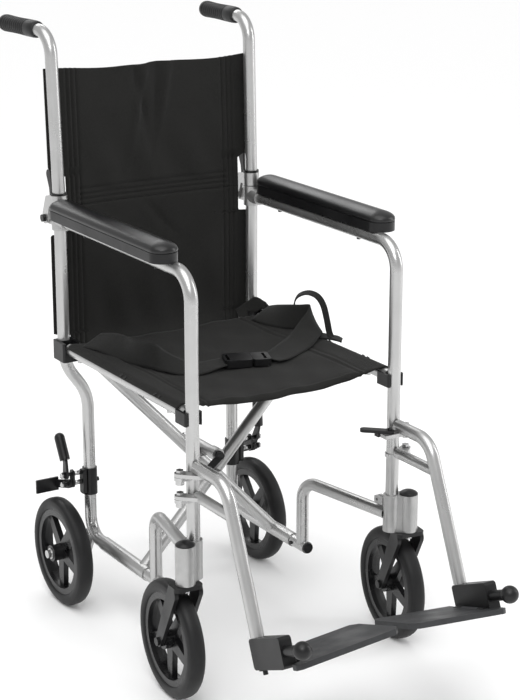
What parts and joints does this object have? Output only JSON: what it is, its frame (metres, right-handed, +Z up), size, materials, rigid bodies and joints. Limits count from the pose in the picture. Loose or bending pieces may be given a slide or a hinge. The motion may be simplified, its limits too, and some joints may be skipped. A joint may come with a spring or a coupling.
{
  "type": "transport wheelchair",
  "caption": "Folding attendant-pushed transport wheelchair with small wheels, sling seat and back, fold-down push canes and swing-away footrests.",
  "frame": {"origin": "on the floor, in the middle of the chair's footprint", "axes": "+Z up, the chair faces -Y, +X is the occupant's left"},
  "size_m": [0.5012, 0.9783, 1.056],
  "materials": {
    "frame_silver": "satin silver paint",
    "cast_silver": "satin, slightly rough",
    "bolt_steel": "bright zinc",
    "satin_black": "satin black",
    "grip_rubber": "ribbed, matte",
    "pad_vinyl": "smooth padded skin",
    "plate_grey": "fine grain",
    "wheel_grey": "moulded",
    "tyre": "matte",
    "nylon": "coated nylon weave",
    "webbing": "woven webbing"
  },
  "bodies": {
    "right_frame": {"right_front_tube": "frame_silver", "right_rear_post": "frame_silver", "right_caster_clamp": "cast_silver", "right_frame_trim": "satin_black", "right_hinge_casting": "cast_silver", "right_armrest_base": "satin_black", "right_armrest_pad": "pad_vinyl", "right_hanger_lugs": "bolt_steel", "right_lock_clamp": "satin_black", "back_lower": "nylon"},
    "left_frame": {"left_front_tube": "frame_silver", "left_rear_post": "frame_silver", "left_caster_clamp": "cast_silver", "left_frame_trim": "satin_black", "left_hinge_casting": "cast_silver", "left_armrest_base": "satin_black", "left_armrest_pad": "pad_vinyl", "left_hanger_lugs": "bolt_steel", "left_lock_clamp": "satin_black"},
    "front_cross": {"front_cross": "frame_silver", "seat_sling": "nylon", "seat_belt": "webbing"},
    "buckle": {"buckle_body": "satin_black"},
    "buckle_tongue": {"buckle_tongue": "satin_black"},
    "rear_cross": {"rear_cross": "frame_silver", "pivot_bolt": "satin_black"},
    "right_cane": {"right_cane": "frame_silver", "right_cane_trim": "satin_black", "right_grip": "grip_rubber", "back_upper": "nylon"},
    "right_latch": {"right_latch_lever": "satin_black"},
    "right_hanger": {"right_hanger": "frame_silver"},
    "right_hanger_lever": {"right_hanger_lever": "satin_black"},
    "right_footrest": {"right_footrest_post": "frame_silver", "right_footrest_bracket": "satin_black"},
    "right_footplate": {"right_footplate": "plate_grey"},
    "right_lock_handle": {"right_lock_handle": "satin_black"},
    "right_lock_shoe": {"right_lock_shoe": "satin_black"},
    "right_fork": {"right_caster_fork": "satin_black"},
    "right_front_wheel": {"right_front_rim": "wheel_grey", "right_front_tyre": "tyre"},
    "right_rear_wheel": {"right_rear_rim": "wheel_grey", "right_rear_tyre": "tyre"},
    "left_cane": {"left_cane": "frame_silver", "left_cane_trim": "satin_black", "left_grip": "grip_rubber"},
    "left_latch": {"left_latch_lever": "satin_black"},
    "left_hanger": {"left_hanger": "frame_silver"},
    "left_hanger_lever": {"left_hanger_lever": "satin_black"},
    "left_footrest": {"left_footrest_post": "frame_silver", "left_footrest_bracket": "satin_black"},
    "left_footplate": {"left_footplate": "plate_grey"},
    "left_lock_handle": {"left_lock_handle": "satin_black"},
    "left_lock_shoe": {"left_lock_shoe": "satin_black"},
    "left_fork": {"left_caster_fork": "satin_black"},
    "left_front_wheel": {"left_front_rim": "wheel_grey", "left_front_tyre": "tyre"},
    "left_rear_wheel": {"left_rear_rim": "wheel_grey", "left_rear_tyre": "tyre"}
  },
  "joints": [
    {"name": "fold", "type": "hinge", "parent": "right_frame", "child": "front_cross", "pos_m": [-0.1504, 0.1105, 0.1242], "axis": [0, -1, 0], "range_deg": [0, 25.5], "deforming": ["seat_sling", "back_lower", "back_upper", "seat_belt"]},
    {"name": "brace_pivot", "type": "hinge", "parent": "front_cross", "child": "rear_cross", "pos_m": [0, 0.1565, 0.312], "axis": [0, -1, 0], "range_deg": [-51, 0]},
    {"name": "left_rail_pivot", "type": "hinge", "parent": "rear_cross", "child": "left_frame", "pos_m": [0.1504, 0.1565, 0.1242], "axis": [0, -1, 0], "range_deg": [0, 25.5]},
    {"name": "buckle_level", "type": "hinge", "parent": "front_cross", "child": "buckle", "pos_m": [-0.0386, 0.0425, 0.3207], "axis": [0, -1, 0], "range_deg": [-25.5, 0]},
    {"name": "buckle_release", "type": "slide", "parent": "buckle", "child": "buckle_tongue", "axis": [0.9397, -0.342, 0], "range_m": [0, 0.03]},
    {"name": "right_cane_fold", "type": "hinge", "parent": "right_frame", "child": "right_cane", "pos_m": [-0.1946, 0.3475, 0.716], "axis": [-1, 0, 0], "range_deg": [0, 140]},
    {"name": "right_latch_pull", "type": "hinge", "parent": "right_cane", "child": "right_latch", "pos_m": [-0.1946, 0.3315, 0.752], "axis": [-1, 0, 0], "range_deg": [0, 18], "stiffness_Nm_per_rad": 0.2},
    {"name": "right_hanger_swing", "type": "hinge", "parent": "right_frame", "child": "right_hanger", "pos_m": [-0.2195, -0.1535, 0.39], "axis": [0, 0, -1], "range_deg": [0, 100]},
    {"name": "right_hanger_release", "type": "hinge", "parent": "right_hanger", "child": "right_hanger_lever", "pos_m": [-0.1746, -0.1705, 0.404], "axis": [0, 0, -1], "range_deg": [0, 20], "stiffness_Nm_per_rad": 0.2},
    {"name": "right_footrest_height", "type": "slide", "parent": "right_hanger", "child": "right_footrest", "axis": [0, -0.3909, -0.9204], "range_m": [0, 0.05]},
    {"name": "right_footplate_flip", "type": "hinge", "parent": "right_footrest", "child": "right_footplate", "pos_m": [-0.1736, -0.4045, 0.168], "axis": [0, -0.9483, 0.3173], "range_deg": [0, 84]},
    {"name": "right_lock_pull", "type": "hinge", "parent": "right_frame", "child": "right_lock_handle", "pos_m": [-0.1975, 0.3035, 0.25], "axis": [1, 0, 0], "range_deg": [0, 36]},
    {"name": "right_shoe_press", "type": "hinge", "parent": "right_frame", "child": "right_lock_shoe", "pos_m": [-0.1915, 0.3035, 0.232], "axis": [-1, 0, 0], "range_deg": [0, 11]},
    {"name": "right_swivel", "type": "hinge", "parent": "right_frame", "child": "right_fork", "pos_m": [-0.2188, -0.1667, 0.25], "axis": [0, 0, 1], "continuous": true},
    {"name": "right_front_spin", "type": "hinge", "parent": "right_fork", "child": "right_front_wheel", "pos_m": [-0.21608, -0.11477, 0.1], "axis": [0.9986, -0.0523, 0], "continuous": true},
    {"name": "right_rear_spin", "type": "hinge", "parent": "right_frame", "child": "right_rear_wheel", "pos_m": [-0.2047, 0.3147, 0.1], "axis": [1, 0, 0], "continuous": true},
    {"name": "left_cane_fold", "type": "hinge", "parent": "left_frame", "child": "left_cane", "pos_m": [0.1946, 0.3475, 0.716], "axis": [-1, 0, 0], "range_deg": [0, 140]},
    {"name": "left_latch_pull", "type": "hinge", "parent": "left_cane", "child": "left_latch", "pos_m": [0.1946, 0.3315, 0.752], "axis": [-1, 0, 0], "range_deg": [0, 18], "stiffness_Nm_per_rad": 0.2},
    {"name": "left_hanger_swing", "type": "hinge", "parent": "left_frame", "child": "left_hanger", "pos_m": [0.2195, -0.1535, 0.39], "axis": [0, 0, 1], "range_deg": [0, 100]},
    {"name": "left_hanger_release", "type": "hinge", "parent": "left_hanger", "child": "left_hanger_lever", "pos_m": [0.1746, -0.1705, 0.404], "axis": [0, 0, 1], "range_deg": [0, 20], "stiffness_Nm_per_rad": 0.2},
    {"name": "left_footrest_height", "type": "slide", "parent": "left_hanger", "child": "left_footrest", "axis": [0, -0.3909, -0.9204], "range_m": [0, 0.05]},
    {"name": "left_footplate_flip", "type": "hinge", "parent": "left_footrest", "child": "left_footplate", "pos_m": [0.1736, -0.4045, 0.168], "axis": [0, 0.9483, -0.3173], "range_deg": [0, 84]},
    {"name": "left_lock_pull", "type": "hinge", "parent": "left_frame", "child": "left_lock_handle", "pos_m": [0.1975, 0.3035, 0.25], "axis": [1, 0, 0], "range_deg": [0, 36]},
    {"name": "left_shoe_press", "type": "hinge", "parent": "left_frame", "child": "left_lock_shoe", "pos_m": [0.1915, 0.3035, 0.232], "axis": [-1, 0, 0], "range_deg": [0, 11]},
    {"name": "left_swivel", "type": "hinge", "parent": "left_frame", "child": "left_fork", "pos_m": [0.2188, -0.1667, 0.25], "axis": [0, 0, 1], "continuous": true},
    {"name": "left_front_spin", "type": "hinge", "parent": "left_fork", "child": "left_front_wheel", "pos_m": [0.22514, -0.11509, 0.1], "axis": [0.9925, -0.1219, 0], "continuous": true},
    {"name": "left_rear_spin", "type": "hinge", "parent": "left_frame", "child": "left_rear_wheel", "pos_m": [0.2047, 0.3147, 0.1], "axis": [1, 0, 0], "continuous": true}
  ],
  "couplings": [
    {"joint": "buckle_level", "follows": "fold", "ratio": -1},
    {"joint": "brace_pivot", "follows": "fold", "ratio": -2},
    {"joint": "left_rail_pivot", "follows": "fold", "ratio": 1},
    {"joint": "right_footplate_flip", "follows": "fold", "ratio": 3.2939},
    {"joint": "right_shoe_press", "follows": "right_lock_pull", "ratio": 0.3},
    {"joint": "left_footplate_flip", "follows": "fold", "ratio": 3.2939},
    {"joint": "left_shoe_press", "follows": "left_lock_pull", "ratio": 0.3},
    {"joint": "left_cane_fold", "follows": "right_cane_fold", "ratio": 1}
  ]
}
